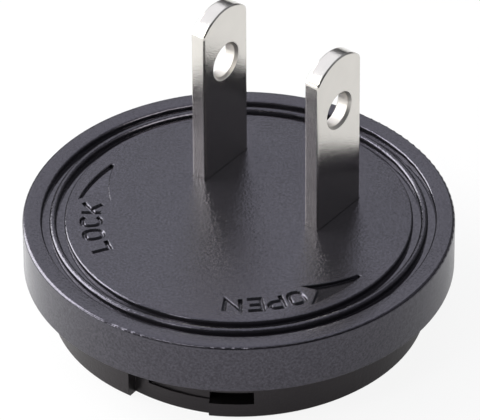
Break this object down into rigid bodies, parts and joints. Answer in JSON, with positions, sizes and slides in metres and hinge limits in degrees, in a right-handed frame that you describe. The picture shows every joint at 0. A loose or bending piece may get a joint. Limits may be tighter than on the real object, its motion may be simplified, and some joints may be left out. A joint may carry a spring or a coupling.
{
  "type": "interchangeable plug clip",
  "caption": "Round black plug clip with flat parallel blades on a ringed face, and a slotted bayonet skirt behind that twists and locks into a power adapter.",
  "frame": {"origin": "centre of the skirt's lower edge, on the axis of the round body", "axes": "+Z out along the blades, X across the pair of blades, Y along the blades' width towards the side they are offset to"},
  "size_m": [0.039, 0.039, 0.027],
  "materials": {
    "cap_plastic": "black, fine spark-eroded satin texture",
    "base_plastic": "black, satin as moulded",
    "blade_nickel": "bright nickel plate on brass",
    "contact_nickel": "dull nickel plate on brass"
  },
  "bodies": {
    "root": {"front_cap": "cap_plastic", "rear_base": "base_plastic", "blade_left": "blade_nickel", "blade_right": "blade_nickel", "contact_left": "contact_nickel", "contact_right": "contact_nickel"}
  },
  "joints": []
}
